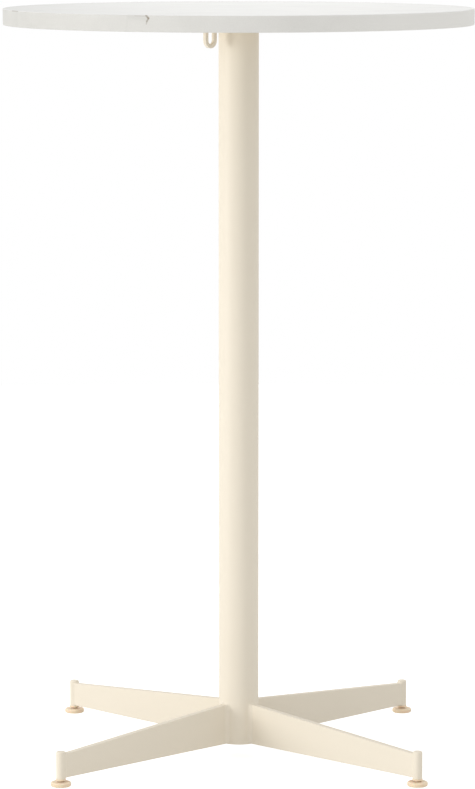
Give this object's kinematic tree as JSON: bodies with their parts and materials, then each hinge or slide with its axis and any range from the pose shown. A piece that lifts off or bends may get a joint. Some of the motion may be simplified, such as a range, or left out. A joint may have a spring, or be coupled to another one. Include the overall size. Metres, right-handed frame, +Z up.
{
  "type": "bar table",
  "caption": "Bar-height table: round stone top on a powder-coated column, four tapered blade legs, levelling glides and an under-top bag eye.",
  "frame": {"origin": "on the floor at the column's axis, with the glides screwed in", "axes": "+Z up along the column, -Y to the front as in the picture, +X to the right; the legs lie on the diagonals"},
  "size_m": [0.7, 0.7, 1.12],
  "materials": {
    "stone": "honed, fine speckle and faint veins",
    "powder_coat": "satin cream powder coat on steel",
    "nylon": "peach nylon",
    "zinc": "zinc plated",
    "brass": "plain"
  },
  "bodies": {
    "table": {"table_top": "stone", "top_inserts": "brass", "mounting_plate": "powder_coat", "plate_screws": "zinc", "column_tube": "powder_coat", "column_plug": "nylon", "column_head_weld": "powder_coat", "bag_eye": "powder_coat", "bag_eye_welds": "powder_coat", "leg_front_left": "powder_coat", "leg_front_right": "powder_coat", "leg_back_right": "powder_coat", "leg_back_left": "powder_coat", "leg_root_welds_front_left": "powder_coat", "leg_root_welds_front_right": "powder_coat", "leg_root_welds_back_right": "powder_coat", "leg_root_welds_back_left": "powder_coat", "leg_tip_welds_front_left": "powder_coat", "leg_tip_welds_front_right": "powder_coat", "leg_tip_welds_back_right": "powder_coat", "leg_tip_welds_back_left": "powder_coat", "foot_post_front_left": "powder_coat", "foot_post_front_right": "powder_coat", "foot_post_back_right": "powder_coat", "foot_post_back_left": "powder_coat"},
    "glide_front_left": {"glide_pad_front_left": "nylon"},
    "stud_front_left": {"glide_collar_front_left": "nylon", "glide_stud_front_left": "zinc"},
    "glide_front_right": {"glide_pad_front_right": "nylon"},
    "stud_front_right": {"glide_collar_front_right": "nylon", "glide_stud_front_right": "zinc"},
    "glide_back_right": {"glide_pad_back_right": "nylon"},
    "stud_back_right": {"glide_collar_back_right": "nylon", "glide_stud_back_right": "zinc"},
    "glide_back_left": {"glide_pad_back_left": "nylon"},
    "stud_back_left": {"glide_collar_back_left": "nylon", "glide_stud_back_left": "zinc"}
  },
  "joints": [
    {"name": "glide_travel_front_left", "type": "slide", "parent": "table", "child": "glide_front_left", "axis": [0, 0, -1], "range_m": [0, 0.012]},
    {"name": "stud_turn_front_left", "type": "hinge", "parent": "glide_front_left", "child": "stud_front_left", "pos_m": [-0.25951, -0.25951, 0.0109], "axis": [0, 0, -1], "range_deg": [0, 3456]},
    {"name": "glide_travel_front_right", "type": "slide", "parent": "table", "child": "glide_front_right", "axis": [0, 0, -1], "range_m": [0, 0.012]},
    {"name": "stud_turn_front_right", "type": "hinge", "parent": "glide_front_right", "child": "stud_front_right", "pos_m": [0.25951, -0.25951, 0.0109], "axis": [0, 0, -1], "range_deg": [0, 3456]},
    {"name": "glide_travel_back_right", "type": "slide", "parent": "table", "child": "glide_back_right", "axis": [0, 0, -1], "range_m": [0, 0.012]},
    {"name": "stud_turn_back_right", "type": "hinge", "parent": "glide_back_right", "child": "stud_back_right", "pos_m": [0.25951, 0.25951, 0.0109], "axis": [0, 0, -1], "range_deg": [0, 3456]},
    {"name": "glide_travel_back_left", "type": "slide", "parent": "table", "child": "glide_back_left", "axis": [0, 0, -1], "range_m": [0, 0.012]},
    {"name": "stud_turn_back_left", "type": "hinge", "parent": "glide_back_left", "child": "stud_back_left", "pos_m": [-0.25951, 0.25951, 0.0109], "axis": [0, 0, -1], "range_deg": [0, 3456]}
  ],
  "couplings": [
    {"joint": "stud_turn_front_left", "follows": "glide_travel_front_left", "rad_per_m": 5026.5},
    {"joint": "stud_turn_front_right", "follows": "glide_travel_front_right", "rad_per_m": 5026.5},
    {"joint": "stud_turn_back_right", "follows": "glide_travel_back_right", "rad_per_m": 5026.5},
    {"joint": "stud_turn_back_left", "follows": "glide_travel_back_left", "rad_per_m": 5026.5}
  ]
}
